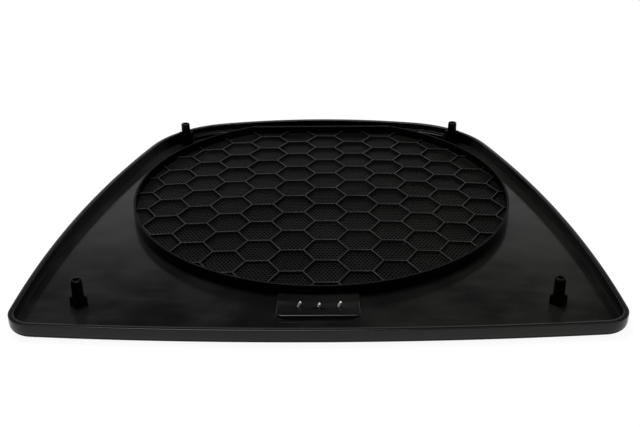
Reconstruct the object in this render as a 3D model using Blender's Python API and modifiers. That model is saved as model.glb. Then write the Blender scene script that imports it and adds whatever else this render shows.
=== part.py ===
"""Loudspeaker grille panel for a car interior, lying on its face with its back up.

Lengths are in metres. X runs along the near edge, Y away from it and Z up. The origin is in the
plane of the front face, under the middle of the panel.
"""

import math

import bmesh
import bpy
import numpy as np
from mathutils import Matrix, Vector

OBJECT_NAME = "speaker_grille_panel"

# Fits
SEAT_GAP = 0.0003
SIDE_CLEARANCE = 0.0004

# Panel outline: a symmetric chain of tangent arcs
PANEL_DEPTH = 0.312
NEAR_WIDTH = 0.3562  # between the near corners before they are rounded
NEAR_EDGE_RADIUS = 2.0
NEAR_CORNER_RADIUS = 0.0158
SIDE_RADIUS = 0.783
SIDE_LEAN = math.radians(1.7)  # of each side where it leaves its near corner
FAR_CORNER_RADIUS = 0.0705
FAR_EDGE_RADIUS = 0.367

# Panel section
RIM_HEIGHT = 0.0101
RIM_WALL = 0.0032
FLOOR_THICKNESS = 0.0021
FRONT_EDGE_ROUND = 0.005
RIM_TOP_ROUND = 0.0006
LEDGE_HEIGHT = 0.0032  # step along the far wall, above the floor
LEDGE_WIDTH = 0.0045

# Collar: a round wall with a flat on the far side
COLLAR_INNER_RADIUS = 0.1292
COLLAR_WALL = 0.0015
COLLAR_FLAT_WALL = 0.0024
COLLAR_FLAT_WIDTH = 0.1096  # along the inner face of the flat
COLLAR_NEAR_SETBACK = 0.0478  # from the panel's near edge to the collar's outer face
COLLAR_SHIFT_X = 0.0018  # of the collar's centre from the middle of the panel
COLLAR_EDGE_ROUND = 0.0004
OPENING_LIP = 0.004  # floor left inside the collar, which carries the field

# Field: a perforated sheet with a honeycomb of ribs on it, both crowned towards the back
FIELD_CROWN = 0.0038
SHEET_THICKNESS = 0.0016
RIB_HEIGHT = 0.0017
RIB_WIDTH = 0.0013
HEX_ACROSS_FLATS = 0.025
HEX_SHIFT_X = 0.0030  # of one cell's centre from the collar's centre
HEX_SHIFT_Y = -0.0074
HOOP_WIDTH = 0.0012
HOOP_HEIGHT = 0.0010
HOOP_LIFT = 0.0002  # of the hoop's underside above that of the ribs

# Clip posts: a hollow tapered pin between four fins
PIN_HEIGHT = 0.0194  # of every pin's top above the front face
PIN_TOP_DIAMETER = 0.0065
PIN_FOOT_DIAMETER = 0.0074
PIN_BORE = 0.0034
PIN_BORE_DEPTH = 0.006
PIN_CHAMFER = 0.0005
PIN_FOOT_LIFT = 0.0002  # above the underside of the fins
POST_FIN_SPAN = 0.0103
POST_FIN_THICKNESS = 0.0014
NEAR_SHOULDER_DROP = 0.0118  # from a pin's top to the top of its fins
FAR_SHOULDER_DROP = 0.0070
NEAR_POST_SIDE_SETBACK = 0.0366
NEAR_POST_EDGE_SETBACK = 0.0408
FAR_POST_INSET = 0.0083  # from the outline of the far corner
FAR_POST_BEARING = math.radians(47)

# Trim plate on the front face, held by three bent tabs on a raised pad
PAD_WIDTH = 0.0495
PAD_LENGTH = 0.0238  # from the collar's near side
PAD_HEIGHT = 0.0024
PAD_CORNER_RADIUS = 0.004
PAD_EDGE_ROUND = 0.0008
PLATE_WIDTH = 0.038
PLATE_LENGTH = 0.010
PLATE_THICKNESS = 0.001
PLATE_CORNER_RADIUS = 0.002
PLATE_SETBACK = 0.0002  # behind the front face
TAB_ROW_SETBACK = 0.0133  # from the collar's near side
TAB_SPACING = 0.0118
TAB_THICKNESS = 0.0012
TAB_WIDTH = 0.002
TAB_BEND = 0.0014
OUTER_TAB_HEIGHT = 0.0026  # above the pad
CENTRE_TAB_HEIGHT = 0.0015

# Fineness of the facets
CHORD_ERROR = 0.00006
CUT_MARGIN = 0.005  # how far a cutter reaches past what it cuts
FLAT_STEPS = 10
RIM_ROUND_STEPS = 4
PAD_ROUND_STEPS = 2
PIN_STEPS = 24
SHEET_STEPS = 72
SHEET_RINGS = 6

COLLAR_TOP = RIM_HEIGHT
COLLAR_OUTER_RADIUS = COLLAR_INNER_RADIUS + COLLAR_WALL
FIELD_RADIUS = COLLAR_INNER_RADIUS - SIDE_CLEARANCE
SHEET_BOTTOM = FLOOR_THICKNESS + SEAT_GAP
SHEET_TOP = SHEET_BOTTOM + SHEET_THICKNESS
RIB_TOP = SHEET_TOP + SEAT_GAP + RIB_HEIGHT
PAD_TOP = FLOOR_THICKNESS + PAD_HEIGHT
RECESS_DEPTH = PLATE_SETBACK + PLATE_THICKNESS + SEAT_GAP

COLLAR_NEAR_Y = COLLAR_NEAR_SETBACK - PANEL_DEPTH / 2
COLLAR_CENTRE = Vector((COLLAR_SHIFT_X, COLLAR_NEAR_Y + COLLAR_OUTER_RADIUS))
FLAT_REACH = math.sqrt(COLLAR_INNER_RADIUS**2 - (COLLAR_FLAT_WIDTH / 2) ** 2)
FLAT_INNER_Y = COLLAR_CENTRE.y + FLAT_REACH
PAD_NEAR_Y = COLLAR_NEAR_Y - PAD_LENGTH
PLATE_CENTRE_Y = COLLAR_NEAR_Y - TAB_ROW_SETBACK


def collection(name):
    made = bpy.data.collections.new(name)
    bpy.context.scene.collection.children.link(made)
    return made


def plastic(name, shade, roughness):
    return finish(name, (shade, shade, shade), roughness, 0)


def finish(name, colour, roughness, metallic):
    material = bpy.data.materials.new(name)
    material.use_nodes = True
    shader = material.node_tree.nodes["Principled BSDF"]
    shader.inputs["Base Color"].default_value = (*colour, 1)
    shader.inputs["Roughness"].default_value = roughness
    shader.inputs["Metallic"].default_value = metallic
    return material


def evaluated(item):
    """The object's shape with its modifiers, as a new mesh object in the same place."""
    bpy.context.view_layer.update()
    graph = bpy.context.evaluated_depsgraph_get()
    mesh = bpy.data.meshes.new_from_object(item.evaluated_get(graph))
    name, spot = item.name, item.matrix_world.copy()
    bpy.data.objects.remove(item)
    made = bpy.data.objects.new(name, mesh)
    made.matrix_world = spot
    return made


def welded(item, flat_angle=0.0005):
    """Close the seams of a filled curve and turn each flat cap into one face."""
    form = bmesh.new()
    form.from_mesh(item.data)
    bmesh.ops.remove_doubles(form, verts=form.verts, dist=1e-6)
    bmesh.ops.dissolve_limit(form, angle_limit=flat_angle, verts=[], edges=form.edges)
    bmesh.ops.recalc_face_normals(form, faces=form.faces)
    form.to_mesh(item.data)
    form.free()
    return item


def slab(name, loops, bottom, top):
    """Plate between two heights. The first loop of plan points bounds it, and the others are holes."""
    curve = bpy.data.curves.new(name, "CURVE")
    curve.dimensions = "2D"
    curve.fill_mode = "BOTH"
    curve.extrude = (top - bottom) / 2
    for loop in loops:
        spline = curve.splines.new("POLY")
        spline.points.add(len(loop) - 1)
        spline.use_cyclic_u = True
        for point, place in zip(spline.points, loop):
            point.co = (place[0], place[1], 0, 1)
    outline = bpy.data.objects.new(name, curve)
    outline.location.z = (bottom + top) / 2
    bpy.context.scene.collection.objects.link(outline)
    return welded(evaluated(outline))


def wall(name, loop, thickness, bottom, top):
    """Upright wall between two heights. The loop of plan points is its outer face."""
    form = bmesh.new()
    foot = [form.verts.new((*place, bottom)) for place in loop]
    edges = [form.edges.new((foot[i - 1], foot[i])) for i in range(len(foot))]
    made = bmesh.ops.extrude_edge_only(form, edges=edges)["geom"]
    head = [element for element in made if isinstance(element, bmesh.types.BMVert)]
    bmesh.ops.translate(form, verts=head, vec=(0, 0, top - bottom))
    bmesh.ops.recalc_face_normals(form, faces=form.faces)
    mesh = bpy.data.meshes.new(name)
    form.to_mesh(mesh)
    form.free()
    item = bpy.data.objects.new(name, mesh)
    shell = item.modifiers.new("Thickness", "SOLIDIFY")
    shell.thickness = thickness
    shell.use_even_offset = True
    return item


def box(name, low, high):
    """Block between two corners."""
    low, high = Vector(low), Vector(high)
    form = bmesh.new()
    size = Matrix.Diagonal((*(high - low), 1))
    bmesh.ops.create_cube(form, size=1, matrix=Matrix.Translation((low + high) / 2) @ size)
    mesh = bpy.data.meshes.new(name)
    form.to_mesh(mesh)
    form.free()
    return bpy.data.objects.new(name, mesh)


def turned(name, profile, steps):
    """Solid of revolution about Z. The profile of (radius, height) points runs down its outer side."""
    mesh = bpy.data.meshes.new(name)
    points = [(radius, 0, height) for radius, height in profile]
    mesh.from_pydata(points, [(i, i + 1) for i in range(len(points) - 1)], [])
    item = bpy.data.objects.new(name, mesh)
    screw = item.modifiers.new("Turn", "SCREW")
    screw.steps = steps
    screw.render_steps = steps
    screw.use_merge_vertices = True
    screw.merge_threshold = 0.00001
    screw.use_smooth_shade = True
    return item


def combine(target, tool, operation):
    """Boolean of two objects. The tool stays in the scene as a hidden helper."""
    if not tool.users_collection:
        helpers.objects.link(tool)
    tool.hide_render = True
    tool.display_type = "WIRE"
    modifier = target.modifiers.new(tool.name, "BOOLEAN")
    modifier.operation = operation
    modifier.solver = "EXACT"
    modifier.object = tool
    return target


def rounded(item, width, segments):
    bevel = item.modifiers.new("Round", "BEVEL")
    bevel.width = width
    bevel.segments = segments
    bevel.limit_method = "ANGLE"
    bevel.angle_limit = math.radians(40)
    return item


def place(item, material):
    """Make the object one of the panel's parts."""
    item.data.materials.clear()
    item.data.materials.append(material)
    item.data.shade_smooth()
    item.data.set_sharp_from_angle(angle=math.radians(30))
    parts.objects.link(item)
    item.parent = frame
    return item


def arc(centre, radius, start, end, inset=0):
    """Points of an arc, moved in towards its centre. Their number doesn't depend on the inset."""
    step = math.sqrt(8 * CHORD_ERROR / radius)
    count = max(2, math.ceil((end - start) / step))
    angles = [start + (end - start) * i / count for i in range(count + 1)]
    reach = radius - inset
    return [(centre.x + reach * math.cos(a), centre.y + reach * math.sin(a)) for a in angles]


def inner_fillet_centre(centre_a, radius_a, centre_b, radius_b, radius):
    """Centre of the circle of this radius that touches two circles from inside.

    Of the two such circles it is the one to the left of the way from the first centre to the second.
    """
    reach_a = radius_a - radius
    reach_b = radius_b - radius
    apart = centre_b - centre_a
    along = (reach_a**2 - reach_b**2 + apart.length_squared) / (2 * apart.length)
    across = math.sqrt(reach_a**2 - along**2) * Vector((-apart.y, apart.x)).normalized()
    return centre_a + along * apart.normalized() + across


def bearing(start, end):
    return math.atan2(end.y - start.y, end.x - start.x)


def panel_arcs():
    """The outline's right half as (centre, radius, start, end), from the near edge to the far one."""
    near = Vector((0, NEAR_EDGE_RADIUS - PANEL_DEPTH / 2))
    far = Vector((0, PANEL_DEPTH / 2 - FAR_EDGE_RADIUS))
    corner_drop = math.sqrt(NEAR_EDGE_RADIUS**2 - (NEAR_WIDTH / 2) ** 2)
    corner = Vector((NEAR_WIDTH / 2, near.y - corner_drop))
    side = corner - SIDE_RADIUS * Vector((math.cos(SIDE_LEAN), math.sin(SIDE_LEAN)))
    near_corner = inner_fillet_centre(near, NEAR_EDGE_RADIUS, side, SIDE_RADIUS, NEAR_CORNER_RADIUS)
    far_corner = inner_fillet_centre(side, SIDE_RADIUS, far, FAR_EDGE_RADIUS, FAR_CORNER_RADIUS)
    turns = [
        -math.pi / 2,
        bearing(near, near_corner),
        bearing(side, near_corner),
        bearing(side, far_corner),
        bearing(far, far_corner),
        math.pi / 2,
    ]
    circles = [
        (near, NEAR_EDGE_RADIUS),
        (near_corner, NEAR_CORNER_RADIUS),
        (side, SIDE_RADIUS),
        (far_corner, FAR_CORNER_RADIUS),
        (far, FAR_EDGE_RADIUS),
    ]
    return [(*circle, turns[i], turns[i + 1]) for i, circle in enumerate(circles)]


def panel_outline(inset=0):
    right = []
    for centre, radius, start, end in panel_arcs():
        right += arc(centre, radius, start, end, inset)[:-1]
    far_middle = (0, PANEL_DEPTH / 2 - inset)
    left = [(-x, y) for x, y in reversed(right[1:])]
    return right + [far_middle] + left


def flatted_circle(radius, flat_y, flat_steps=1):
    """Circle about the collar's centre, cut off by a flat."""
    tip = math.asin((flat_y - COLLAR_CENTRE.y) / radius)
    round_part = arc(COLLAR_CENTRE, radius, math.pi - tip, 2 * math.pi + tip)
    start, end = round_part[-1], round_part[0]
    straight = [
        (start[0] + (end[0] - start[0]) * i / flat_steps, start[1]) for i in range(1, flat_steps)
    ]
    return round_part + straight


def inside_collar(inset, flat_steps=1):
    """Outline moved in from the collar's inner face."""
    return flatted_circle(COLLAR_INNER_RADIUS - inset, FLAT_INNER_Y - inset, flat_steps)


def outside_collar(gap):
    """Outline moved out from the collar's outer face."""
    return flatted_circle(COLLAR_OUTER_RADIUS + gap, FLAT_INNER_Y + COLLAR_FLAT_WALL + gap)


def rounded_rectangle(centre_y, width, length, radius):
    points = []
    for quarter, (sign_x, sign_y) in enumerate([(1, 1), (-1, 1), (-1, -1), (1, -1)]):
        centre = Vector(
            (sign_x * (width / 2 - radius), centre_y + sign_y * (length / 2 - radius))
        )
        points += arc(centre, radius, quarter * math.pi / 2, (quarter + 1) * math.pi / 2)
    return points


def crown(x, y):
    """Height of the field over its own edge, for plan points from the collar's centre."""
    return FIELD_CROWN * (1 - (x**2 + y**2) / FIELD_RADIUS**2)


def far_post_place():
    centre, radius = panel_arcs()[3][:2]
    reach = radius - FAR_POST_INSET
    return centre + reach * Vector((math.cos(FAR_POST_BEARING), math.sin(FAR_POST_BEARING)))


def near_post_place():
    return Vector(
        (NEAR_WIDTH / 2 - NEAR_POST_SIDE_SETBACK, NEAR_POST_EDGE_SETBACK - PANEL_DEPTH / 2)
    )


def weigh_rim_edges(item):
    """Mark the front and top edges of the rim, so that each gets its own rounding."""
    form = bmesh.new()
    form.from_mesh(item.data)
    weight = form.edges.layers.float.new("bevel_weight_edge")
    for edge in form.edges:
        heights = {round(vertex.co.z, 6) for vertex in edge.verts}
        if len(heights) == 1:
            front = heights.pop() < 0
            edge[weight] = 1 if front else RIM_TOP_ROUND / FRONT_EDGE_ROUND
    form.to_mesh(item.data)
    form.free()


def panel_shell():
    """Tray with a raised rim, a round opening, a step along the far wall and the pad for the tabs."""
    item = slab("panel_shell", [panel_outline()], 0, RIM_HEIGHT)
    weigh_rim_edges(item)
    bevel = item.modifiers.new("Edges", "BEVEL")
    bevel.width = FRONT_EDGE_ROUND
    bevel.segments = RIM_ROUND_STEPS
    bevel.limit_method = "WEIGHT"

    above = RIM_HEIGHT + CUT_MARGIN
    combine(
        item, slab("tray_hollow", [panel_outline(RIM_WALL)], FLOOR_THICKNESS, above), "DIFFERENCE"
    )

    ledge_end = far_post_place().x - POST_FIN_SPAN / 2 - SEAT_GAP
    outer = [p for p in panel_outline(RIM_WALL / 2) if abs(p[0]) < ledge_end and p[1] > 0]
    inner = [p for p in panel_outline(RIM_WALL + LEDGE_WIDTH) if abs(p[0]) < ledge_end and p[1] > 0]
    ledge = slab(
        "far_ledge",
        [outer + inner[::-1]],
        FLOOR_THICKNESS / 2,
        FLOOR_THICKNESS + LEDGE_HEIGHT,
    )
    combine(item, ledge, "UNION")

    pad_far_y = COLLAR_NEAR_Y + PAD_LENGTH
    pad = slab(
        "tab_pad",
        [
            rounded_rectangle(
                (PAD_NEAR_Y + pad_far_y) / 2, PAD_WIDTH, pad_far_y - PAD_NEAR_Y, PAD_CORNER_RADIUS
            )
        ],
        FLOOR_THICKNESS / 2,
        PAD_TOP,
    )
    rounded(pad, PAD_EDGE_ROUND, PAD_ROUND_STEPS)
    collar_room = slab("collar_room", [outside_collar(SEAT_GAP)], 0, above)
    combine(pad, collar_room, "DIFFERENCE")
    combine(item, pad, "UNION")

    opening = slab("opening", [inside_collar(OPENING_LIP)], -CUT_MARGIN, above)
    combine(item, opening, "DIFFERENCE")

    recess = rounded_rectangle(
        PLATE_CENTRE_Y,
        PLATE_WIDTH + 2 * SIDE_CLEARANCE,
        PLATE_LENGTH + 2 * SIDE_CLEARANCE,
        PLATE_CORNER_RADIUS + SIDE_CLEARANCE,
    )
    combine(item, slab("plate_recess", [recess], -CUT_MARGIN, RECESS_DEPTH), "DIFFERENCE")
    half_slot = Vector((TAB_THICKNESS, TAB_WIDTH)) / 2 + Vector((SIDE_CLEARANCE, SIDE_CLEARANCE))
    for number in (-1, 0, 1):
        middle = Vector((number * TAB_SPACING, PLATE_CENTRE_Y))
        slot = box(
            f"tab_slot_{number + 2}",
            (*(middle - half_slot), RECESS_DEPTH / 2),
            (*(middle + half_slot), PAD_TOP + CUT_MARGIN),
        )
        combine(item, slot, "DIFFERENCE")
    return item


def collar_ring():
    """Upright wall round the field, thicker along its flat."""
    bottom = FLOOR_THICKNESS + SEAT_GAP
    item = slab("collar_ring", [outside_collar(0), inside_collar(0)], bottom, COLLAR_TOP)
    return rounded(item, COLLAR_EDGE_ROUND, 1)


def perforated_sheet():
    """Thin crowned sheet behind the opening."""
    radii = [FIELD_RADIUS * i / SHEET_RINGS for i in range(SHEET_RINGS + 1)]
    top = [(r, SHEET_TOP + crown(r, 0)) for r in radii]
    bottom = [(r, SHEET_BOTTOM + crown(r, 0)) for r in radii]
    item = turned("perforated_sheet", top + bottom[::-1], SHEET_STEPS)
    item.location = (*COLLAR_CENTRE, 0)
    flat = FLAT_INNER_Y - SIDE_CLEARANCE
    past_flat = box(
        "sheet_flat",
        (COLLAR_CENTRE.x - COLLAR_OUTER_RADIUS, flat, -CUT_MARGIN),
        (COLLAR_CENTRE.x + COLLAR_OUTER_RADIUS, flat + COLLAR_OUTER_RADIUS, RIM_HEIGHT + CUT_MARGIN),
    )
    return combine(item, past_flat, "DIFFERENCE")


def honeycomb_cells():
    """Mesh of hexagons that covers the field, about the collar's centre."""
    side = HEX_ACROSS_FLATS / math.sqrt(3)
    reach = FIELD_RADIUS + HEX_ACROSS_FLATS
    columns = math.ceil(reach / (1.5 * side))
    rows = math.ceil(reach / HEX_ACROSS_FLATS) + 1
    quarter_turn = Matrix.Rotation(math.pi / 2, 4, "Z")
    form = bmesh.new()
    for column in range(-columns, columns + 1):
        for row in range(-rows, rows + 1):
            x = HEX_SHIFT_X + 1.5 * side * column
            y = HEX_SHIFT_Y + HEX_ACROSS_FLATS * (row + 0.5 * (column % 2))
            if math.hypot(x, y) < reach:
                turn = Matrix.Translation((x, y, 0)) @ quarter_turn
                bmesh.ops.create_circle(form, cap_ends=True, segments=6, radius=side, matrix=turn)
    bmesh.ops.remove_doubles(form, verts=form.verts, dist=HEX_ACROSS_FLATS / 1000)
    return form


def honeycomb_grid():
    """Ribs along the edges of the cells, trimmed inside a hoop and bent to the field's crown."""
    form = honeycomb_cells()
    cells = list(form.faces)
    bmesh.ops.inset_individual(form, faces=cells, thickness=RIB_WIDTH / 2, use_even_offset=True)
    bmesh.ops.delete(form, geom=cells, context="FACES")
    bmesh.ops.recalc_face_normals(form, faces=form.faces)
    if sum(face.normal.z for face in form.faces) < 0:
        bmesh.ops.reverse_faces(form, faces=form.faces)
    mesh = bpy.data.meshes.new("honeycomb_grid")
    form.to_mesh(mesh)
    form.free()
    item = bpy.data.objects.new("honeycomb_grid", mesh)
    item.location = (*COLLAR_CENTRE, RIB_TOP)
    helpers.objects.link(item)
    thickness = item.modifiers.new("Height", "SOLIDIFY")
    thickness.thickness = RIB_HEIGHT
    thickness.offset = -1

    rib_bottom = RIB_TOP - RIB_HEIGHT
    trim = slab(
        "field_trim",
        [inside_collar(SIDE_CLEARANCE + HOOP_WIDTH / 2)],
        rib_bottom - CUT_MARGIN,
        RIB_TOP + CUT_MARGIN,
    )
    combine(item, trim, "INTERSECT")
    hoop_bottom = rib_bottom + HOOP_LIFT
    outline = inside_collar(SIDE_CLEARANCE, FLAT_STEPS)
    hoop = wall("field_hoop", outline, HOOP_WIDTH, hoop_bottom, hoop_bottom + HOOP_HEIGHT)
    combine(item, hoop, "UNION")
    item = evaluated(item)

    points = np.empty(3 * len(item.data.vertices), np.float32)
    item.data.vertices.foreach_get("co", points)
    points = points.reshape(-1, 3)
    points[:, 2] += crown(points[:, 0], points[:, 1])
    item.data.vertices.foreach_set("co", points.ravel())
    return item


def clip_post(name, spot, shoulder_drop):
    """Hollow pin that stands between four fins."""
    foot = FLOOR_THICKNESS + SEAT_GAP
    bore_end = PIN_HEIGHT - PIN_BORE_DEPTH
    top_radius = PIN_TOP_DIAMETER / 2
    profile = [
        (0, bore_end),
        (PIN_BORE / 2, bore_end),
        (PIN_BORE / 2, PIN_HEIGHT),
        (top_radius - PIN_CHAMFER, PIN_HEIGHT),
        (top_radius, PIN_HEIGHT - PIN_CHAMFER),
        (PIN_FOOT_DIAMETER / 2, foot + PIN_FOOT_LIFT),
        (0, foot + PIN_FOOT_LIFT),
    ]
    item = turned(name, profile, PIN_STEPS)
    item.location = (*spot, 0)
    half_span = POST_FIN_SPAN / 2
    half_thick = POST_FIN_THICKNESS / 2
    for axis, reach in (("x", (half_span, half_thick)), ("y", (half_thick, half_span))):
        fin = box(
            f"{name}_fin_{axis}",
            (spot.x - reach[0], spot.y - reach[1], foot),
            (spot.x + reach[0], spot.y + reach[1], PIN_HEIGHT - shoulder_drop),
        )
        combine(item, fin, "UNION")
    return item


def tab(number):
    """Strip that stands up through its slot and leans over the pad."""
    height = OUTER_TAB_HEIGHT if number else CENTRE_TAB_HEIGHT
    lean = TAB_BEND * height / OUTER_TAB_HEIGHT
    half = TAB_THICKNESS / 2
    root = PLATE_SETBACK + PLATE_THICKNESS / 2
    tip = PAD_TOP + height
    outline = [
        (-half, root),
        (half, root),
        (half, PAD_TOP),
        (half + lean, tip),
        (lean - half, tip),
        (-half, PAD_TOP),
    ]
    item = slab(f"tab_{number + 2}", [outline], -TAB_WIDTH / 2, TAB_WIDTH / 2)
    upright = Matrix.Rotation(math.pi / 2, 4, "X")
    item.matrix_world = Matrix.Translation((number * TAB_SPACING, PLATE_CENTRE_Y, 0)) @ upright
    return item


def trim_plate():
    """Bare plate on the front face, with its tabs."""
    outline = rounded_rectangle(PLATE_CENTRE_Y, PLATE_WIDTH, PLATE_LENGTH, PLATE_CORNER_RADIUS)
    item = slab("trim_plate", [outline], PLATE_SETBACK, PLATE_SETBACK + PLATE_THICKNESS)
    for number in (-1, 0, 1):
        combine(item, tab(number), "UNION")
    return item


for old in list(bpy.data.objects):
    bpy.data.objects.remove(old)

parts = collection(OBJECT_NAME)
helpers = collection("cutters")
helpers.hide_render = True
frame = bpy.data.objects.new(OBJECT_NAME, None)
parts.objects.link(frame)

place(panel_shell(), plastic("panel_black", 0.018, 0.38))
place(collar_ring(), plastic("collar_black", 0.012, 0.45))
place(perforated_sheet(), plastic("sheet_black", 0.010, 0.60))
place(honeycomb_grid(), plastic("rib_black", 0.030, 0.45))
for side_name, mirror in (("left", -1), ("right", 1)):
    for end_name, spot, drop in (
        ("near", near_post_place(), NEAR_SHOULDER_DROP),
        ("far", far_post_place(), FAR_SHOULDER_DROP),
    ):
        post = clip_post(f"clip_post_{end_name}_{side_name}", Vector((mirror * spot.x, spot.y)), drop)
        place(post, plastic(f"post_black_{end_name}_{side_name}", 0.012, 0.40))
place(trim_plate(), finish("bare_metal", (0.80, 0.80, 0.78), 0.25, 1))
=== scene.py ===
import math

import bmesh
import bpy
import numpy as np
from mathutils import Matrix, Vector


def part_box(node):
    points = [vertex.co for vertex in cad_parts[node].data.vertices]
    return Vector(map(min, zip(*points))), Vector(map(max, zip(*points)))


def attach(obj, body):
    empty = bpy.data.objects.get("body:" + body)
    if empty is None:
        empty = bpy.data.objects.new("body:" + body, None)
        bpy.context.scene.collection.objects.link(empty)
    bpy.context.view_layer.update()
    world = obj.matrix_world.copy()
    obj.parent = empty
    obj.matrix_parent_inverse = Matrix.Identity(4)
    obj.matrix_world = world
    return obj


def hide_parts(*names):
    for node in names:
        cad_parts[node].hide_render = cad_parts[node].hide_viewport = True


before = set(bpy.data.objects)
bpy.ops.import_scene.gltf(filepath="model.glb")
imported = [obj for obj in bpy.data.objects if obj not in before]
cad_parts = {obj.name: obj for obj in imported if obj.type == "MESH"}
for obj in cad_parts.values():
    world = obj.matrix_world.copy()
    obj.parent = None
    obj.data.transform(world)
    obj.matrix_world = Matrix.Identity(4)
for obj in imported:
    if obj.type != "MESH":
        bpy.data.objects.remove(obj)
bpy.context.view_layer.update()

panelLow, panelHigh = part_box("panel_shell")
collarLow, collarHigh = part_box("collar_ring")
print("frame loaded, panel", [round(size * 1000, 1) for size in panelHigh - panelLow], "mm")


# Mesh helpers

meshLook = dict(
    sharpAngle=32,  # degrees; an edge that turns more stays sharp
    sameSpot=2e-7,  # points closer than this are one
)


def meshFrom(name, points, faces):
    # faces: an array of quads, or lists of point numbers
    mesh = bpy.data.meshes.new(name)
    mesh.from_pydata(np.asarray(points).tolist(), [], [list(face) for face in faces])
    form = bmesh.new()
    form.from_mesh(mesh)
    bmesh.ops.remove_doubles(form, verts=form.verts, dist=meshLook["sameSpot"])
    bmesh.ops.holes_fill(form, edges=[edge for edge in form.edges if edge.is_boundary], sides=0)
    bmesh.ops.recalc_face_normals(form, faces=form.faces)
    form.to_mesh(mesh)
    form.free()
    item = bpy.data.objects.new(name, mesh)
    bpy.context.scene.collection.objects.link(item)
    softEdges(item)
    return item


def softEdges(item):
    item.data.shade_smooth()
    item.data.set_sharp_from_angle(angle=math.radians(meshLook["sharpAngle"]))


def vertexRows(item, name):
    rows = np.empty(3 * len(item.data.vertices))
    item.data.vertices.foreach_get(name, rows)
    return rows.reshape(-1, 3)


def mark(item, name, values):
    # a number on every vertex, for the finish to read
    item.data.attributes.new(name, "FLOAT", "POINT").data.foreach_set("value", values)


def gridFaces(rows, columns, closedRows):
    # quads between neighbouring rows of points, each row a closed ring
    row = np.arange(rows if closedRows else rows - 1)[:, None]
    column = np.arange(columns)[None, :]
    nextRow, nextColumn = (row + 1) % rows, (column + 1) % columns
    corners = [row * columns + column, row * columns + nextColumn,
               nextRow * columns + nextColumn, nextRow * columns + column]
    return np.stack(corners, -1).reshape(-1, 4)


def ringSurface(name, rings, closedRows=False):
    # surface through rings of points, an array of (ring, point, xyz)
    rings = np.asarray(rings)
    return meshFrom(name, rings.reshape(-1, 3), gridFaces(*rings.shape[:2], closedRows))


def raised(loop, height):
    return np.column_stack([loop, np.broadcast_to(height, len(loop))])


def quarter(steps):
    # angles of a quarter turn
    return np.linspace(0, math.pi / 2, steps + 1)


def ways(angles):
    # unit vectors in these directions: (cos, sin)
    return np.column_stack([np.cos(angles), np.sin(angles)])


def carve(item, tools, operation):
    # Booleans that are applied at once. The tools are used up.
    for tool in tools:
        modifier = item.modifiers.new(tool.name, "BOOLEAN")
        modifier.operation = operation
        modifier.solver = "EXACT"
        modifier.object = tool
    bpy.context.view_layer.update()
    shaped = item.evaluated_get(bpy.context.evaluated_depsgraph_get())
    item.modifiers.clear()
    old, item.data = item.data, bpy.data.meshes.new_from_object(shaped)
    bpy.data.meshes.remove(old)
    for tool in tools:
        bpy.data.objects.remove(tool)
    return item


# Finishes

class Value:
    # one output socket in a material; sums and products of values and numbers add Math nodes

    def __init__(self, tree, socket=None):
        self.tree = tree
        self.socket = socket

    def node(self, kind, settings={}, sockets={}, output=0):
        made = self.tree.nodes.new(kind)
        for name, setting in settings.items():
            setattr(made, name, setting)
        for name, given in sockets.items():
            if isinstance(given, Value):
                self.tree.links.new(given.socket, made.inputs[name])
            else:
                made.inputs[name].default_value = given
        return Value(self.tree, made.outputs[output])

    def maths(self, operation, *given):
        return self.node("ShaderNodeMath", {"operation": operation}, dict(enumerate(given)))

    def __add__(self, other):
        return self.maths("ADD", self, other)

    def __sub__(self, other):
        return self.maths("SUBTRACT", self, other)

    def __mul__(self, other):
        return self.maths("MULTIPLY", self, other)

    __radd__ = __add__
    __rmul__ = __mul__

    def __rsub__(self, other):
        return self.maths("SUBTRACT", other, self)

    def rise(self, low, high):
        # 0 below low, 1 above high and smooth between
        limits = {"Value": self, "From Min": low, "From Max": high}
        return self.node("ShaderNodeMapRange", {"interpolation_type": "SMOOTHSTEP"}, limits)

    def blend(self, dark, light):
        # colour between two colours
        return self.node("ShaderNodeMix", {"data_type": "RGBA"}, {0: self, 6: dark, 7: light}, 2)

    def part(self, axis):
        return self.node("ShaderNodeSeparateXYZ", {}, {0: self}, axis)

    def clouds(self, size, detail, stretch=(1, 1, 1)):
        # noise with lumps of about this size, in metres
        places = self.node("ShaderNodeMapping", {}, {"Vector": self, "Scale": stretch})
        lumps = {"Vector": places, "Scale": 1 / size, "Detail": detail}
        return self.node("ShaderNodeTexNoise", {}, lumps, "Fac")

    def specks(self, spacing, width, share):
        # round specks in a share of the cells of this size
        cells = {"Vector": self, "Scale": 1 / spacing}
        near = self.node("ShaderNodeTexVoronoi", {}, cells, "Distance")
        luck = self.node("ShaderNodeTexVoronoi", {}, cells, "Color").part("X")
        size = width / spacing / 2
        return (1 - near.rise(size * 0.6, size)) * luck.maths("LESS_THAN", luck, share)


def newFinish(name):
    material = bpy.data.materials.new(name)
    material.use_nodes = True
    tree = material.node_tree
    return material, Value(tree), tree.nodes["Principled BSDF"]


def feed(shader, name, value):
    if isinstance(value, Value):
        value.tree.links.new(value.socket, shader.inputs[name])
    else:
        shader.inputs[name].default_value = value


def grey(shade, olive=0.0):
    return (shade, shade, shade * (1 - olive), 1)


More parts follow.
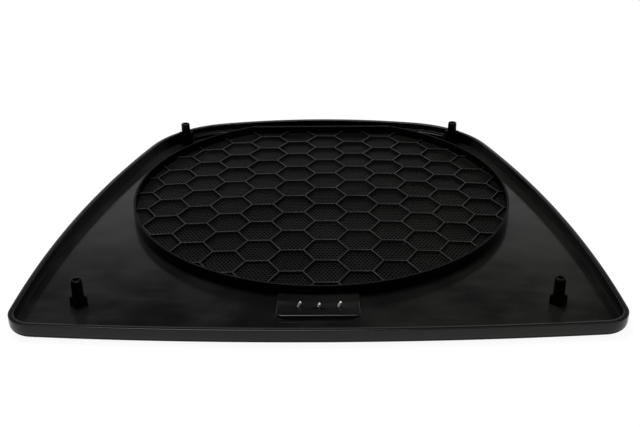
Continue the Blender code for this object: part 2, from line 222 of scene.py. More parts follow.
def mouldedBlack(name, look):
    # black plastic: soft patches of shade and gloss, faint sink waves, fine grain and a little dust
    material, start, shader = newFinish(name)
    place = start.node("ShaderNodeTexCoord", output="Object")
    patches = place.clouds(look["patchSize"], 3).rise(*look["patchRange"])
    smears = place.clouds(look["smearSize"], 4, look["smearStretch"]).rise(*look["smearRange"])
    waves = place.clouds(look["waveSize"], 1)
    grain = place.clouds(look["grainSize"], 2)
    dust = place.specks(look["dustSpacing"], look["dustWidth"], look["dustShare"])
    right = place.part("X").rise(*look["oliveRange"])
    light = right.blend(grey(look["light"]), grey(look["light"], look["olive"]))
    shade = patches.blend(grey(look["dark"]), light)
    uneven = look["roughnessSpread"] * (patches + smears - 0.7)
    gloss = look["roughness"] + uneven + look["grainGloss"] * (grain - 0.5)
    for zone in look["zones"]:  # comes in between two levels of height or of an attribute
        level = place.part("Z")
        if zone["by"] != "height":
            level = start.node("ShaderNodeAttribute", {"attribute_name": zone["by"]}, output="Fac")
        inside = level.rise(zone["start"], zone["full"])
        shade = inside.blend(shade, grey(zone["shade"]))
        gloss = gloss + inside * (zone["roughness"] - gloss)
    feed(shader, "Base Color", (dust * look["dustCover"]).blend(shade, grey(look["dustShade"])))
    feed(shader, "Roughness", gloss + look["dustGloss"] * dust)
    heights = look["waveDepth"] * waves + look["grainDepth"] * (grain + dust)
    feed(shader, "Normal", start.node("ShaderNodeBump", {}, {"Height": heights, "Distance": 1.0}))
    feed(shader, "Specular IOR Level", look["shine"])
    return material


def brushedMetal(name, look):
    # bright stamped metal with fine brushing along X
    material, start, shader = newFinish(name)
    place = start.node("ShaderNodeTexCoord", output="Object")
    lines = place.clouds(look["lineSize"], 3, look["lineStretch"])
    tarnish = place.clouds(look["tarnishSize"], 3).rise(*look["tarnishRange"])
    feed(shader, "Base Color", tarnish.blend(grey(look["dark"]), grey(look["light"])))
    uneven = look["lineGloss"] * (lines - 0.5) + look["tarnishGloss"] * tarnish
    feed(shader, "Roughness", look["roughness"] + uneven)
    feed(shader, "Metallic", 1.0)
    bumps = {"Height": lines, "Strength": look["lineStrength"], "Distance": look["lineDepth"]}
    feed(shader, "Normal", start.node("ShaderNodeBump", {}, bumps))
    return material


plainBlack = dict(
    dark=0.0045, light=0.0085,
    olive=0.2, oliveRange=(-0.05, 0.15),  # towards the right side
    patchSize=0.055, patchRange=(0.35, 0.65),
    smearSize=0.022, smearRange=(0.45, 0.75), smearStretch=(1, 2.5, 1),
    waveSize=0.035, waveDepth=0.00018,
    grainSize=0.0005, grainDepth=0.000005, grainGloss=0.05,
    dustSpacing=0.011, dustWidth=0.0006, dustShare=0.05, dustShade=0.10, dustCover=0.8, dustGloss=0.3,
    roughness=0.15, roughnessSpread=0.05, shine=0.23, zones=[],
)

rimLand = dict(by="height", start=0.0099, full=0.01005, shade=0.006, roughness=0.17)
# painted shade: the rim's inner walls are the same plastic as the floor, made near black as if in shadow
rimInsidePaintedShade = dict(by="inward", start=0.3, full=0.7, shade=0.0006, roughness=0.12)
frontGrain = dict(by="front", start=0.15, full=0.4, shade=0.004, roughness=0.85)
# the collar's top land keeps a shade near the plastic's own, lighter than the collar's walls painted in
# shade
collarLand = dict(by="height", start=0.00998, full=0.01009, shade=0.005, roughness=0.6)
# painted light: the rib tops are made lighter than their walls, as if lit from above
ribTopPaintedLight = dict(by="rise", start=0.7, full=0.95, shade=0.008, roughness=0.4)

finishes = {
    "panel_plastic": mouldedBlack("panelBlack", {**plainBlack, "zones": [rimInsidePaintedShade, rimLand, frontGrain]}),
    # painted shade: the collar is the panel's plastic, made much darker so its walls look as if in shadow
    "collar_plastic": mouldedBlack("collarBlack", {
        **plainBlack, "dark": 0.0008, "light": 0.0014, "shine": 0.04, "zones": [collarLand]}),
    "sheet_black": mouldedBlack("sheetBlack", {
        **plainBlack, "dark": 0.003, "light": 0.006, "roughness": 0.45, "shine": 0.045}),
    "rib_plastic": mouldedBlack("ribBlack", {
        **plainBlack, "dark": 0.003, "light": 0.006, "roughness": 0.32, "shine": 0.18, "zones": [ribTopPaintedLight]}),
    # painted shade: the posts are the panel's plastic, made near black as if in shadow
    "post_plastic": mouldedBlack("postBlack", {
        **plainBlack, "dark": 0.0008, "light": 0.0016, "shine": 0.06}),
    "bare_metal": brushedMetal("bareMetal", dict(
        dark=0.62, light=0.78, roughness=0.6,
        lineSize=0.0004, lineStretch=(0.08, 1, 1), lineDepth=0.00002, lineStrength=0.2, lineGloss=0.2,
        tarnishSize=0.004, tarnishRange=(0.3, 0.7), tarnishGloss=0.05)),
}


def fit(piece, node, slot):
    # the piece takes the place of a node and its finish from a slot
    piece.data.materials.clear()
    piece.data.materials.append(finishes[slot])
    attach(piece, "root")
    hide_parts(node)
    return piece


# Outlines

panelShape = dict(
    nearWidth=0.3562,  # between the near corners before they are rounded
    nearEdgeRadius=2.0,
    nearCornerRadius=0.0158,
    sideRadius=0.783,
    sideLean=math.radians(1.7),
    farCornerRadius=0.0705,
    farEdgeRadius=0.367,
    step=0.0012,  # between points of the outline
    leastSteps=24,  # in each of its arcs
    skin=0.00003,  # inside the solid's facets
    rimWall=0.0032,
    floorTop=0.0021,
    rimRound=0.0006,
    footRound=0.0002,
    frontRound=0.005,
    wallRing=0.0002,  # a ring this close to each rounding keeps the wall's shading flat
    ledgeHeight=0.0032,
    ledgeWidth=0.0045,
    ledgeRound=0.0005,
    ledgeRamp=0.001,  # length of its sloping ends
    ledgeGap=0.0003,  # between its ends and the far posts
    openingLip=0.004,  # floor left inside the collar
    openingRound=0.0004,
    frontBands=8,
    floorBands=13,
)

collarShape = dict(
    wall=0.0015,
    flatWall=0.0024,
    edgeRound=0.0004,
    footRound=0.0002,
    wallRing=0.0002,  # as the panel's
    sink=0.0002,  # into the floor
    arcSteps=300,
    flatSteps=24,
)

fieldShape = dict(crown=0.0038, clearance=0.0004, sheetThickness=0.0016, sheetLift=0.0003)

collarRadius = (collarHigh.x - collarLow.x) / 2 - collarShape["wall"]  # of the inner face
collarCentre = np.array([
    (collarLow.x + collarHigh.x) / 2,
    collarLow.y + collarRadius + collarShape["wall"],
])
flatY = collarHigh.y - collarShape["flatWall"]  # of the inner face
sheetBottom = panelShape["floorTop"] + fieldShape["sheetLift"]
sheetTop = sheetBottom + fieldShape["sheetThickness"]


def filletCentre(centreA, radiusA, centreB, radiusB, radius):
    # circle that touches two others from inside, left of the way from A to B
    reachA, reachB = radiusA - radius, radiusB - radius
    apart = centreB - centreA
    length = np.linalg.norm(apart)
    along = (reachA**2 - reachB**2 + length**2) / (2 * length)
    across = math.sqrt(reachA**2 - along**2)
    forward = apart / length
    return centreA + along * forward + across * np.array([-forward[1], forward[0]])


def outlineSamples(shape):
    # right half of the outline as rows of (centre x, centre y, radius, angle), near middle to far middle
    depth = panelHigh.y - panelLow.y
    near = np.array([0, shape["nearEdgeRadius"] - depth / 2])
    far = np.array([0, depth / 2 - shape["farEdgeRadius"]])
    half = shape["nearWidth"] / 2
    corner = np.array([half, near[1] - math.sqrt(shape["nearEdgeRadius"] ** 2 - half**2)])
    lean = shape["sideLean"]
    side = corner - shape["sideRadius"] * np.array([math.cos(lean), math.sin(lean)])
    arcs = ("nearEdge", "nearCorner", "side", "farCorner", "farEdge")
    radii = [shape[f"{arc}Radius"] for arc in arcs]
    nearCorner = filletCentre(near, radii[0], side, radii[2], radii[1])
    farCorner = filletCentre(side, radii[2], far, radii[4], radii[3])
    pairs = [(near, nearCorner), (side, nearCorner), (side, farCorner), (far, farCorner)]
    turns = [-math.pi / 2] + [math.atan2(*(b - a)[::-1]) for a, b in pairs] + [math.pi / 2]
    rows = []
    centres = [near, nearCorner, side, farCorner, far]
    for centre, radius, start, end in zip(centres, radii, turns, turns[1:]):
        count = max(shape["leastSteps"], math.ceil((end - start) * radius / shape["step"]))
        angles = np.linspace(start, end, count, endpoint=False)
        rows.append(np.column_stack([np.tile([*centre, radius], (count, 1)), angles]))
    return np.vstack(rows + [[*far, radii[4], math.pi / 2]])


samples = outlineSamples(panelShape)


def panelLoop(inset):
    # outline moved in along its normals: centre + (radius - inset) * (cos, sin), and its mirror image
    reach = samples[:, 2] - inset - panelShape["skin"]
    right = samples[:, :2] + reach[:, None] * ways(samples[:, 3])
    left = right[-2:0:-1] * [-1, 1]
    return np.vstack([right, left])


def openingLoop(inset):
    # the field's outline in the directions of the panel's points, seen from the collar's centre
    away = panelLoop(panelShape["rimWall"]) - collarCentre
    angle = np.arctan2(away[:, 1], away[:, 0])
    radius, flat = collarRadius - inset, flatY - inset - collarCentre[1]
    tip = math.asin(flat / radius)
    for corner in (tip, math.pi - tip):  # a point goes right into each corner
        angle[np.argmin(abs(angle - corner))] = corner
    reach = np.where(np.sin(angle) * radius > flat, flat / np.maximum(np.sin(angle), 0.1), radius)
    return collarCentre + reach[:, None] * ways(angle)


def collarLoop(share):
    # flatted circle through the collar's wall: share 0 on its inner face, 1 on its outer one
    radius = collarRadius + share * collarShape["wall"]
    flat = flatY + share * collarShape["flatWall"]
    tip = math.asin((flat - collarCentre[1]) / radius)
    angle = np.linspace(math.pi - tip, 2 * math.pi + tip, collarShape["arcSteps"])
    arc = collarCentre + radius * ways(angle)
    share = np.linspace(0, 1, collarShape["flatSteps"] + 1)[1:-1, None]
    return np.vstack([arc, arc[-1] + share * (arc[0] - arc[-1])])


def crown(points):
    # height of the field over its own edge: crown * (1 - (r / R)^2)
    reach = np.linalg.norm(points[..., :2] - collarCentre, axis=-1)
    share = reach / (collarRadius - fieldShape["clearance"])
    return fieldShape["crown"] * (1 - share**2)


def roundedRectangle(centre, size, radius, steps=6):
    # four quarter circles joined by straight sides
    half = np.array(size) / 2 - radius
    corners = ((1, 1), (-1, 1), (-1, -1), (1, -1))
    arcs = [np.array(signs) * half + radius * ways(quarter(steps) + number * math.pi / 2)
            for number, signs in enumerate(corners)]
    return np.array(centre) + np.vstack(arcs)


# Panel

plateShape = dict(
    size=(0.038, 0.010),
    thickness=0.001,
    cornerRadius=0.002,
    edgeRound=0.00025,
    setback=0.0002,
    clearance=0.0004,
    recessSpare=0.0003,  # above the plate
    rowSetback=0.0133,  # of the tabs from the collar's near side
    tabSpacing=0.0118,
    tabThickness=0.0012,
    tabWidth=0.002,
    tabRound=0.0003,
    tabRoot=0.001,  # straight stretch above the plate
    tabBend=0.0014,
    tabBendStart=0.0006,  # below the pad's top
    tabCurl=1.3,  # power of the bend
    tabTip=((0.85, 0.00016), (0.5, 0.00024), (0, 0.00026)),  # share of the section, and how far past the end
    tabHeights=(0.0026, 0.0015, 0.0026),  # above the pad
    cutSpare=0.001,  # by which a cutter stands out
)

padShape = dict(
    width=0.0495,
    length=0.0238,
    height=0.0024,
    cornerRadius=0.0042,
    topRound=0.0008,
    footRound=0.0003,
    sink=0.0005,
    footRing=0.00005,  # below the floor
    underCollar=0.004,  # further than its length
    collarBite=0.0006,  # into the collar's wall
)

padNearY = collarLow.y - padShape["length"]
padTop = panelShape["floorTop"] + padShape["height"]
plateCentreY = collarLow.y - plateShape["rowSetback"]


def ledgeShare(loop):
    # 1 along the far wall between the far posts, 0 elsewhere
    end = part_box("clip_post_far_right")[0].x - panelShape["ledgeGap"]
    return np.clip((end - abs(loop[:, 0])) / panelShape["ledgeRamp"], 0, 1) * (loop[:, 1] > 0)


def panelRings():
    # section of the rim carried along the outline; the floor and the front face run in to the opening
    shape = panelShape
    floor, rim, wall = shape["floorTop"], panelHigh.z, shape["rimWall"]
    turn = quarter(5)
    ledge = shape["ledgeHeight"]
    edge, foot, top, front = (shape[name] for name in ("ledgeRound", "footRound", "rimRound", "frontRound"))
    ledgeFace = wall + shape["ledgeWidth"]
    section = [(ledgeFace + edge * (1 - math.sin(a)), edge * (1 - math.cos(a)), 0) for a in turn]
    section += [(ledgeFace - edge * (1 - math.cos(a)), ledge - edge * (1 - math.sin(a)), 0) for a in turn]
    section += [(wall + foot * (1 - math.sin(a)), ledge, foot * (1 - math.cos(a))) for a in turn]
    section += [(wall, ledge, foot + shape["wallRing"])]
    share = ledgeShare(panelLoop(ledgeFace))
    rings = [raised(panelLoop(inset), floor + share * high + more) for inset, high, more in section]
    upper = [(wall, rim - top - shape["wallRing"])]
    upper += [(wall - top + top * math.cos(a), rim - top + top * math.sin(a)) for a in turn]
    upper += [(top - top * math.sin(a), rim - top + top * math.cos(a)) for a in turn]
    upper += [(front * (1 - math.cos(a)), front * (1 - math.sin(a))) for a in quarter(10)]
    rings += [raised(panelLoop(inset), high) for inset, high in upper]
    lip, soft = shape["openingLip"], shape["openingRound"]
    frontEdge = openingLoop(lip - soft)
    shares = np.linspace(0, 1, shape["frontBands"] + 1)[1:]
    rings += [raised(rings[-1][:, :2] * (1 - t) + frontEdge * t, 0) for t in shares]
    mouth = [(soft * math.sin(a), soft * (1 - math.cos(a))) for a in turn[1:]]
    mouth += [(soft * math.cos(a), floor - soft + soft * math.sin(a)) for a in turn]
    rings += [raised(openingLoop(lip - soft + more), high) for more, high in mouth]
    inner, outer = rings[-1][:, :2], rings[0][:, :2]
    shares = np.linspace(0, 1, shape["floorBands"] + 1)[1:-1]
    rings += [raised(inner * (1 - t) + outer * t, floor) for t in shares]
    return rings


def padRings():
    # rounded rectangle whose far side follows the collar's wall
    shape = padShape
    floor, foot, top = panelShape["floorTop"], shape["footRound"], shape["topRound"]
    length = shape["length"] + shape["underCollar"]
    centre = (0, padNearY + length / 2)
    turn = quarter(6)
    profile = [(-foot, floor - shape["sink"]), (-foot, floor - shape["footRing"])]
    profile += [(-foot * (1 - math.sin(a)), floor + foot * (1 - math.cos(a))) for a in turn[1:]]
    profile += [(top * (1 - math.cos(a)), padTop - top * (1 - math.sin(a))) for a in turn]
    rings = []
    for inset, high in profile:
        size = (shape["width"] - 2 * inset, length - 2 * inset)
        loop = roundedRectangle(centre, size, shape["cornerRadius"] - inset, 8)
        away = loop - collarCentre
        reach = np.linalg.norm(away, axis=1, keepdims=True)
        kept = np.maximum(reach, collarRadius + shape["collarBite"])
        rings.append(raised(collarCentre + away / reach * kept, high))
    return rings


def prism(name, loop, bottom, top):
    # upright walls on a closed loop, with its ends filled
    return ringSurface(name, [raised(loop, bottom), raised(loop, top)])


def plateCutters():
    # the recess for the plate in the front face, and the slots for its tabs
    shape = plateShape
    clearance, spare = shape["clearance"], shape["cutSpare"]
    recess = np.array(shape["size"]) + 2 * clearance
    recessTop = shape["setback"] + shape["thickness"] + shape["recessSpare"]
    outline = roundedRectangle((0, plateCentreY), recess, shape["cornerRadius"] + clearance)
    cutters = [prism("plate_recess", outline, -spare, recessTop)]
    slot = np.array([shape["tabThickness"], shape["tabWidth"]]) + 2 * clearance
    for number in (-1, 0, 1):
        outline = roundedRectangle((number * shape["tabSpacing"], plateCentreY), slot, shape["tabRound"])
        cutters.append(prism("tab_slot", outline, recessTop / 2, padTop + spare))
    return cutters


def addPanel():
    # the skin with the pad joined on and the plate's recess and slots cut out
    panel = ringSurface("panel_shell_skin", panelRings(), closedRows=True)
    carve(panel, [ringSurface("tab_pad", padRings())], "UNION")
    carve(panel, plateCutters(), "DIFFERENCE")
    softEdges(panel)
    spots, normals = vertexRows(panel, "co"), vertexRows(panel, "normal")
    mark(panel, "front", -normals[:, 2])  # 1 on the front face, 0 on walls
    inward = -(normals * spots)[:, :2].sum(1) / np.linalg.norm(spots[:, :2], axis=1)
    mark(panel, "inward", inward)  # 1 on a wall that faces the middle, -1 on one that faces out; the panel's finish paints shade on the inward walls
    return fit(panel, "panel_shell", "panel_plastic")


panel = addPanel()
print("panel", len(panel.data.polygons), "faces")


# Collar

def addCollar():
    # wall section carried along the flatted circle
    shape = collarShape
    floor, top = panelShape["floorTop"], collarHigh.z
    bottom = floor - shape["sink"]
    edge, foot, ring = shape["edgeRound"], shape["footRound"], shape["wallRing"]
    wall = shape["wall"]
    turn = quarter(4)
    profile = [(0, bottom)]
    profile += [(edge * (1 - math.cos(a)), top - edge * (1 - math.sin(a))) for a in turn]
    profile += [(wall - edge * (1 - math.sin(a)), top - edge * (1 - math.cos(a))) for a in turn]
    profile += [(wall, top - edge - ring), (wall, floor + foot + ring)]
    profile += [(wall + foot * (1 - math.cos(a)), floor + foot * (1 - math.sin(a))) for a in turn]
    profile += [(wall + foot, bottom)]
    rings = [raised(collarLoop(out / wall), high) for out, high in profile]
    return fit(ringSurface("collar_wall", rings, closedRows=True), "collar_ring", "collar_plastic")


collar = addCollar()
print("collar", len(collar.data.polygons), "faces")


# Perforated sheet

holeShape = dict(pitch=0.0025, radius=0.00075, edge=0.0004, strips=4)

sheetMap = dict(  # of each strip, for baking
    size=(0.98, 0.46),  # of the top, and of the bottom beside it
    margin=0.01,
    bottomShift=(0, 0.48),
    holeRing=(0.92, 0.5),  # where a hole's wall lies in the hole
    sides=(0.975, 0.995),  # band for the side walls
)


def sheetCentres():
    # staggered places over the whole field
    pitch = holeShape["pitch"]
    rowGap = pitch * math.sqrt(3) / 2
    rows = np.arange(-math.ceil(collarRadius / rowGap) - 1, math.ceil(collarRadius / rowGap) + 2)
    columns = np.arange(-math.ceil(collarRadius / pitch) - 1, math.ceil(collarRadius / pitch) + 2)
    x = pitch * (columns[None, :] + 0.5 * (rows[:, None] % 2))
    y = np.broadcast_to(rowGap * rows[:, None], x.shape)
    return collarCentre + np.stack([x, y], -1).reshape(-1, 2)


def insideField(points, inset):
    # within the flatted circle less an inset
    away = np.linalg.norm(points - collarCentre, axis=-1)
    return (away < collarRadius - inset) & (points[..., 1] < flatY - inset)


def clampToField(points, inset):
    # points outside the flatted circle are drawn in to it
    away = points - collarCentre
    reach = np.linalg.norm(away, axis=-1, keepdims=True)
    points = collarCentre + away * np.minimum(1, (collarRadius - inset) / np.maximum(reach, 1e-9))
    points[..., 1] = np.minimum(points[..., 1], flatY - inset)
    return points


def addSheet():
    # Hexagons with round holes, in strips. The twelve spokes meet a hexagon's corners and sides.
    clearance, pitch = fieldShape["clearance"], holeShape["pitch"]
    centres = sheetCentres()
    spokes = ways(np.arange(12) * math.pi / 6)
    reach = np.where(np.arange(12) % 2, pitch / math.sqrt(3), pitch / 2)
    outer = centres[:, None] + reach[:, None] * spokes
    used = insideField(outer, clearance).any(1)
    centres, outer = centres[used], clampToField(outer[used], clearance)
    holes = centres[:, None] + holeShape["radius"] * spokes
    pierced = insideField(holes, clearance + holeShape["edge"]).all(1)
    edges = np.quantile(centres[:, 1], np.linspace(0, 1, holeShape["strips"] + 1))
    strip = np.searchsorted(edges[1:-1], centres[:, 1], "right")
    return [sheetStrip(f"perforated_sheet_{number + 1}", outer[pierced & (strip == number)],
                       holes[pierced & (strip == number)], outer[~pierced & (strip == number)])
            for number in range(holeShape["strips"])]


def sheetStrip(name, outer, holes, solids):
    # both faces of every cell, the walls of its hole, and side walls along edges that only one cell has
    flat = np.concatenate([outer.reshape(-1, 2), holes.reshape(-1, 2), solids.reshape(-1, 2)])
    count, spokes, lift = len(flat), outer.shape[1], crown(flat)
    points = np.concatenate([raised(flat, sheetTop + lift), raised(flat, sheetBottom + lift)])
    a = np.arange(outer[..., 0].size).reshape(outer.shape[:2])
    b = np.roll(a, -1, 1)
    c, d = b + a.size, a + a.size
    top = np.stack([a, b, c, d], -1).reshape(-1, 4)
    wall = np.stack([d, c, c + count, d + count], -1).reshape(-1, 4)
    plate = 2 * a.size + np.arange(solids[..., 0].size).reshape(-1, spokes)
    outlines = np.concatenate([np.stack([a, b], -1).reshape(-1, 2),
                               np.stack([plate, np.roll(plate, -1, 1)], -1).reshape(-1, 2)])
    spots = np.round(points * 1e7).astype(int)
    _, first, same = np.unique(spots, axis=0, return_index=True, return_inverse=True)
    same = same.reshape(-1)
    _, index, times = np.unique(np.sort(same[outlines], 1), axis=0, return_index=True, return_counts=True)
    a, b = outlines[index[times == 1]].T
    side = np.column_stack([b, a, a + count, b + count])[same[a] != same[b]]
    apart = same[plate] != same[np.roll(plate, 1, 1)]  # the flat side draws some points of a cell together

    # the map: the top with the hole walls as rings in the holes, the bottom beside it, then the sides
    low, high = flat.min(0), flat.max(0)
    spread = (flat - low) / (high - low) * sheetMap["size"] + sheetMap["margin"]
    under = spread + sheetMap["bottomShift"]
    middles = spread[d].mean(1, keepdims=True).repeat(spokes, 1).reshape(-1, 1, 2)
    rings = middles + (spread[top[:, [3, 2, 2, 3]]] - middles) * np.repeat(sheetMap["holeRing"], 2)[:, None]
    along = np.arange(len(side))[:, None] + np.array([1, 0, 0, 1])
    beside = np.stack([along / len(side), np.tile(np.repeat(sheetMap["sides"], 2), (len(side), 1))], -1)
    maps = [spread[top], under[top[:, ::-1]], rings, beside,
            spread[plate][apart], under[plate[:, ::-1]][apart[:, ::-1]]]
    faces = [face for group in (top, top[:, ::-1] + count, wall, side) for face in same[group].tolist()]
    faces += [same[cell[kept]].tolist() for cell, kept in zip(plate, apart)]
    faces += [same[cell[kept] + count].tolist() for cell, kept in zip(plate[:, ::-1], apart[:, ::-1])]
    mesh = bpy.data.meshes.new(name)
    mesh.from_pydata(points[first].tolist(), [], faces)
    layer = mesh.uv_layers.new(name="OFBake")
    layer.uv.foreach_set("vector", np.concatenate([part.reshape(-1) for part in maps]))
    mesh.validate()
    item = bpy.data.objects.new(name, mesh)
    bpy.context.scene.collection.objects.link(item)
    softEdges(item)
    return fit(item, "perforated_sheet", "sheet_black")


sheet = addSheet()
print("sheet", [len(strip.data.polygons) for strip in sheet], "faces")


# Honeycomb

ribShape = dict(
    acrossFlats=0.025,
    shift=(0.0030, -0.0074),  # of one cell's centre from the collar's centre
    topWidth=0.0010,
    footWidth=0.0012,
    height=0.0020,
    topRound=0.00025,
    footRound=0.00005,
    sink=0.0002,
    endGap=0.0001,  # from the collar's wall
    leastLength=0.0003,  # a shorter stump is left out
)


def ribProfile():
    # half the section from the middle of the top to the foot, then mirrored, as (across, height)
    shape = ribShape
    top, foot, height, sink = (shape[name] for name in ("topRound", "footRound", "height", "sink"))
    topHalf, footHalf = shape["topWidth"] / 2, shape["footWidth"] / 2
    turn = quarter(4)
    upper = np.column_stack([topHalf - top * (1 - np.sin(turn)), height - top * (1 - np.cos(turn))])
    lower = np.column_stack([footHalf + foot * (1 - np.cos(turn)), foot * (1 - np.sin(turn))])
    right = np.vstack([[0, height], upper, lower, [footHalf + foot, -sink]])
    return np.vstack([right, [0, -sink], right[:0:-1] * [-1, 1]])


def ribLines():
    # middle and direction of every edge of the honeycomb: three for each cell
    across = ribShape["acrossFlats"]
    side = across / math.sqrt(3)
    count = math.ceil(collarRadius / across) + 2
    columns, rows = np.meshgrid(np.arange(-count, count + 1), np.arange(-count, count + 1))
    x = ribShape["shift"][0] + 1.5 * side * columns
    y = ribShape["shift"][1] + across * (rows + 0.5 * (columns % 2))
    cells = collarCentre + np.stack([x, y], -1).reshape(-1, 2)
    out = ways(np.radians([90, 30, -30]))
    along = out[:, ::-1] * [-1, 1]
    middles = cells[:, None] + across / 2 * out
    return middles.reshape(-1, 2), np.tile(along, (len(cells), 1)), side


def addHoneycomb():
    # each rib's section runs between mitred ends; a rib that meets the collar stops at its wall
    section = ribProfile()
    across, high = section[:, 0], section[:, 1]
    middle, along, side = ribLines()
    normal = along[:, ::-1] * [-1, 1]
    start = middle[:, None] + across[:, None] * normal[:, None]
    reach = side / 2 - abs(across) / math.sqrt(3)
    low, up = np.broadcast_to(-reach, start.shape[:2]), np.broadcast_to(reach, start.shape[:2])
    radius, flat = collarRadius - ribShape["endGap"], flatY - ribShape["endGap"]
    away = start - collarCentre
    half = (away * along[:, None]).sum(-1)
    inside = half**2 - (away**2).sum(-1) + radius**2
    root = np.sqrt(np.maximum(inside, 0))
    slope = np.broadcast_to(along[:, None, 1], start.shape[:2])
    level = abs(slope) < 1e-9  # ribs along the flat
    toFlat = (flat - start[..., 1]) / np.where(level, 1, slope)
    flatUp = np.where(~level & (slope > 0), toFlat, np.inf)
    flatLow = np.where(~level & (slope < 0), toFlat, -np.inf)
    first = np.maximum.reduce([low, -half - root, flatLow])
    last = np.minimum.reduce([up, -half + root, flatUp])
    longEnough = last - first > ribShape["leastLength"]
    kept = (longEnough & (inside > 0) & (~level | (start[..., 1] < flat))).all(1)
    first, last, start, along = first[kept], last[kept], start[kept], along[kept]
    low, up = low[kept], up[kept]
    ends = start[:, None] + np.stack([first, last], 1)[..., None] * along[:, None, None]
    points = np.concatenate([ends, np.broadcast_to(high[:, None], ends.shape[:3] + (1,))], -1)
    points[..., 2] += sheetTop + crown(points)
    count = len(section)
    base = np.arange(len(points))[:, None] * 2 * count
    i, j = base + np.arange(count), base + (np.arange(count) + 1) % count
    faces = np.stack([i, j, j + count, i + count], -1).reshape(-1, 4).tolist()
    cutLow, cutUp = (first > low + 1e-7).any(1), (last < up - 1e-7).any(1)
    faces += i[cutLow].tolist() + (i[cutUp] + count).tolist()
    item = meshFrom("honeycomb_ribs", points.reshape(-1, 3), faces)
    spots = vertexRows(item, "co")
    rise = (spots[:, 2] - sheetTop - crown(spots)) / ribShape["height"]
    mark(item, "rise", rise)  # 0 at the foot of a rib, 1 at its top
    return fit(item, "honeycomb_grid", "rib_plastic")


honeycomb = addHoneycomb()
print("honeycomb", len(honeycomb.data.polygons), "faces")


# Clip posts

postShape = dict(
    topDiameter=0.0065,
    footDiameter=0.0074,
    bore=0.0034,
    boreDepth=0.006,
    boreRound=0.0002,
    boreTaper=0.94,  # share of the bore left at its end
    topRound=0.0005,
    neckRing=0.0003,  # above the fins
    sink=0.0002,  # into the floor
    finSpan=0.0103,
    finThickness=0.0014,
    finRound=0.0003,
    drops={"near": 0.0118, "far": 0.0070},  # from the pin's top to the top of its fins
)


def postAngles():
    # directions round a post: every fin's corners and where it meets the pin, with the pin between
    half = postShape["finThickness"] / 2
    corner = math.atan2(half, postShape["finSpan"] / 2)
    meet = math.asin(half / (postShape["footDiameter"] / 2))
    eighth = np.concatenate([np.linspace(0, corner, 4), np.linspace(corner, meet, 4)[1:],
                             np.linspace(meet, math.pi / 4, 7)[1:]])
    fourth = np.concatenate([eighth, math.pi / 2 - eighth[-2:0:-1]])
    return np.concatenate([fourth + turn * math.pi / 2 for turn in range(4)])


def postRing(middle, angles, pinRadius, finReach, high):
    # the larger of the pin's radius and the ray to the edge of a cross of two plates
    half = postShape["finThickness"] / 2
    c, s = np.maximum(abs(np.cos(angles)), 1e-6), np.maximum(abs(np.sin(angles)), 1e-6)
    fins = np.maximum(np.minimum(finReach / c, half / s), np.minimum(finReach / s, half / c))
    reach = np.maximum(pinRadius, fins * (finReach > 0))
    return raised(middle + reach[:, None] * ways(angles), high)


def postRows(foot, top, finTop):
    # (pin's radius, fins' reach, height) from the middle of the foot over the fins and the pin into the bore
    shape = postShape
    span, soft, edge = shape["finSpan"] / 2, shape["finRound"], shape["topRound"]
    bore, lip, end = shape["bore"] / 2, shape["boreRound"], top - shape["boreDepth"]
    neck = finTop + shape["neckRing"]

    def pin(z):
        taper = (shape["topDiameter"] - shape["footDiameter"]) * (z - foot) / (top - foot)
        return (shape["footDiameter"] + taper) / 2

    rows = [(0, 0, foot), (pin(foot), span, foot), (pin(finTop), span, finTop - soft)]
    rows += [(pin(finTop), span - soft * (1 - math.cos(a)), finTop - soft * (1 - math.sin(a)))
             for a in quarter(4)[1:]]
    rows += [(pin(finTop), 0, finTop), (pin(neck), 0, neck)]
    rows += [(pin(top) - edge * (1 - math.cos(a)), 0, top - edge * (1 - math.sin(a))) for a in quarter(5)]
    rows += [(bore + lip * (1 - math.sin(a)), 0, top - lip * (1 - math.cos(a))) for a in quarter(3)]
    return rows + [(bore * shape["boreTaper"], 0, end), (0, 0, end)]


def addPost(end, side):
    node = f"clip_post_{end}_{side}"
    low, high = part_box(node)
    middle = np.array([(low.x + high.x) / 2, (low.y + high.y) / 2])
    rows = postRows(panelShape["floorTop"] - postShape["sink"], high.z, high.z - postShape["drops"][end])
    angles = postAngles()
    rings = [postRing(middle, angles, *row) for row in rows]
    return fit(ringSurface(f"{node}_moulding", rings), node, "post_plastic")


posts = [addPost(end, side) for end in ("near", "far") for side in ("left", "right")]
print("posts", [len(post.data.polygons) for post in posts], "faces")


# Trim plate

def tabRings(number, height):
    # rounded strip that stands up through its slot, bends and leans over
    shape = plateShape
    lean = shape["tabBend"] * height / max(shape["tabHeights"])
    root, tip = shape["setback"] + shape["thickness"] / 2, padTop + height
    start = padTop - shape["tabBendStart"]
    bend = np.linspace(0, 1, 8)
    x = np.concatenate([[0, 0], lean * bend ** shape["tabCurl"]])
    z = np.concatenate([[root, root + shape["tabRoot"]], start + (tip - start) * bend])
    path = np.column_stack([x, z])
    heading = np.gradient(path, axis=0)
    heading /= np.linalg.norm(heading, axis=1, keepdims=True)
    section = roundedRectangle((0, 0), (shape["tabThickness"], shape["tabWidth"]), shape["tabRound"], 4)
    stations = [(0, 0, 0)] + [(at, 1, 0) for at in range(len(path))]
    stations += [(len(path) - 1, size, further) for size, further in shape["tabTip"]]
    rings = []
    for at, size, further in stations:
        forward = heading[at]
        spot = path[at] + forward * further
        across = np.array([forward[1], -forward[0]])
        flat = section * size
        rings.append(np.column_stack([
            number * shape["tabSpacing"] + spot[0] + flat[:, 0] * across[0],
            plateCentreY + flat[:, 1],
            spot[1] + flat[:, 0] * across[1],
        ]))
    return rings


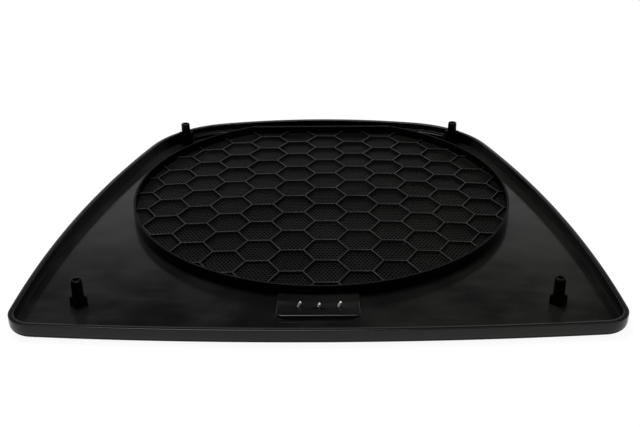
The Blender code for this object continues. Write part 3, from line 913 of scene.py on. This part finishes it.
def plateRings():
    # rounded rectangle between two heights, its edges quarter rounds
    shape = plateShape
    soft = shape["edgeRound"]
    bottom, top = shape["setback"], shape["setback"] + shape["thickness"]
    turn = quarter(4)
    profile = [(soft * (1 - math.sin(a)), bottom + soft * (1 - math.cos(a))) for a in turn]
    profile += [(soft * (1 - math.cos(a)), top - soft * (1 - math.sin(a))) for a in turn]
    return [raised(roundedRectangle((0, plateCentreY), np.array(shape["size"]) - 2 * inset,
                                    shape["cornerRadius"] - inset), high) for inset, high in profile]


def addPlate():
    plate = ringSurface("trim_plate_stamping", plateRings())
    tabs = [ringSurface("tab", tabRings(number, height))
            for number, height in zip((-1, 0, 1), plateShape["tabHeights"])]
    carve(plate, tabs, "UNION")
    softEdges(plate)
    return fit(plate, "trim_plate", "bare_metal")


plate = addPlate()
print("plate", len(plate.data.polygons), "faces")


# Floor, light and camera

stageLook = dict(
    floorSize=8.0, floorShade=0.88, floorRoughness=0.9, floorShine=0.1,
    whiteShare=0.90, whiteLevel=1.03, whiteFade=0.01,
)

lampLook = [
    dict(name="farTop", place=(-0.15, 0.25, 1.1), size=0.5, power=10),
    dict(name="leftSide", place=(-0.75, -0.15, 1.5), size=1.0, power=6),
    dict(name="rightSide", place=(0.75, -0.15, 1.5), size=1.0, power=5),
]

worldLook = dict(bright=0.71, dark=0.0, fadeFrom=0.435, fadeTo=0.515)

cameraLook = dict(
    lens=59.02, pitch=27.108, roll=0.347, yaw=-0.2, distance=0.70706, aim=(0.000945, -0.01368, 0.0101),
    sensorWidth=36, clipStart=0.01,
)


def addFloor():
    half = stageLook["floorSize"] / 2
    mesh = bpy.data.meshes.new("floor")
    corners = [(-half, -half, 0), (half, -half, 0), (half, half, 0), (-half, half, 0)]
    mesh.from_pydata(corners, [], [(0, 1, 2, 3)])
    floor = bpy.data.objects.new("floor", mesh)
    bpy.context.scene.collection.objects.link(floor)
    material, start, shader = newFinish("paleFloor")
    feed(shader, "Base Color", grey(stageLook["floorShade"]))
    feed(shader, "Roughness", stageLook["floorRoughness"])
    feed(shader, "Specular IOR Level", stageLook["floorShine"])
    place = start.node("ShaderNodeTexCoord", output="Object")
    toField = {0: place, 1: (*collarCentre, 0)}
    away = start.node("ShaderNodeVectorMath", {"operation": "DISTANCE"}, toField, "Value")
    # the floor under the field isn't whitened, because it lies in the part's shade
    beside = away.rise(collarRadius, collarRadius + stageLook["whiteFade"])
    camera, glossy, through = [start.node("ShaderNodeLightPath", output=f"Is {kind} Ray")
                               for kind in ("Camera", "Glossy", "Transmission")]
    share = stageLook["whiteShare"] * beside * (camera + glossy + through)
    white = {"Color": grey(1), "Strength": stageLook["whiteLevel"]}
    glow = start.node("ShaderNodeEmission", {}, white)
    tree = material.node_tree
    surface = start.node("ShaderNodeMixShader", {}, {0: share, 1: Value(tree, shader.outputs[0]), 2: glow})
    tree.links.new(surface.socket, tree.nodes["Material Output"].inputs["Surface"])
    mesh.materials.append(material)


def addWorld():
    # pale near the horizon and dark overhead
    world = bpy.data.worlds.new("studio")
    bpy.context.scene.world = world
    world.use_nodes = True
    start = Value(world.node_tree)
    height = start.node("ShaderNodeTexCoord", output="Generated").part("Z")
    fade = height.rise(worldLook["fadeFrom"], worldLook["fadeTo"])
    shade = fade.blend(grey(worldLook["bright"]), grey(worldLook["dark"]))
    feed(world.node_tree.nodes["Background"], "Color", shade)


def addLamps():
    for look in lampLook:
        light = bpy.data.lights.new(look["name"], "AREA")
        light.size = look["size"]
        light.energy = look["power"]
        lamp = bpy.data.objects.new(look["name"], light)
        lamp.location = look["place"]
        lamp.rotation_euler = Vector(look["place"]).to_track_quat("Z", "Y").to_euler()
        bpy.context.scene.collection.objects.link(lamp)


def addCamera():
    look = cameraLook
    turns = [Matrix.Rotation(math.radians(angle), 3, axis) for angle, axis in
             ((-look["yaw"], "Z"), (90 - look["pitch"], "X"), (-look["roll"], "Z"))]
    turn = turns[0] @ turns[1] @ turns[2]
    data = bpy.data.cameras.new("photoView")
    data.lens = look["lens"]
    data.sensor_width = look["sensorWidth"]
    data.clip_start = look["clipStart"]
    camera = bpy.data.objects.new("photoView", data)
    place = Vector(look["aim"]) + look["distance"] * turn.col[2]
    camera.matrix_world = Matrix.Translation(place) @ turn.to_4x4()
    bpy.context.scene.collection.objects.link(camera)
    bpy.context.scene.camera = camera


addFloor()
addWorld()
addLamps()
addCamera()
bpy.context.scene.view_settings.view_transform = "Standard"
print("stage ready")
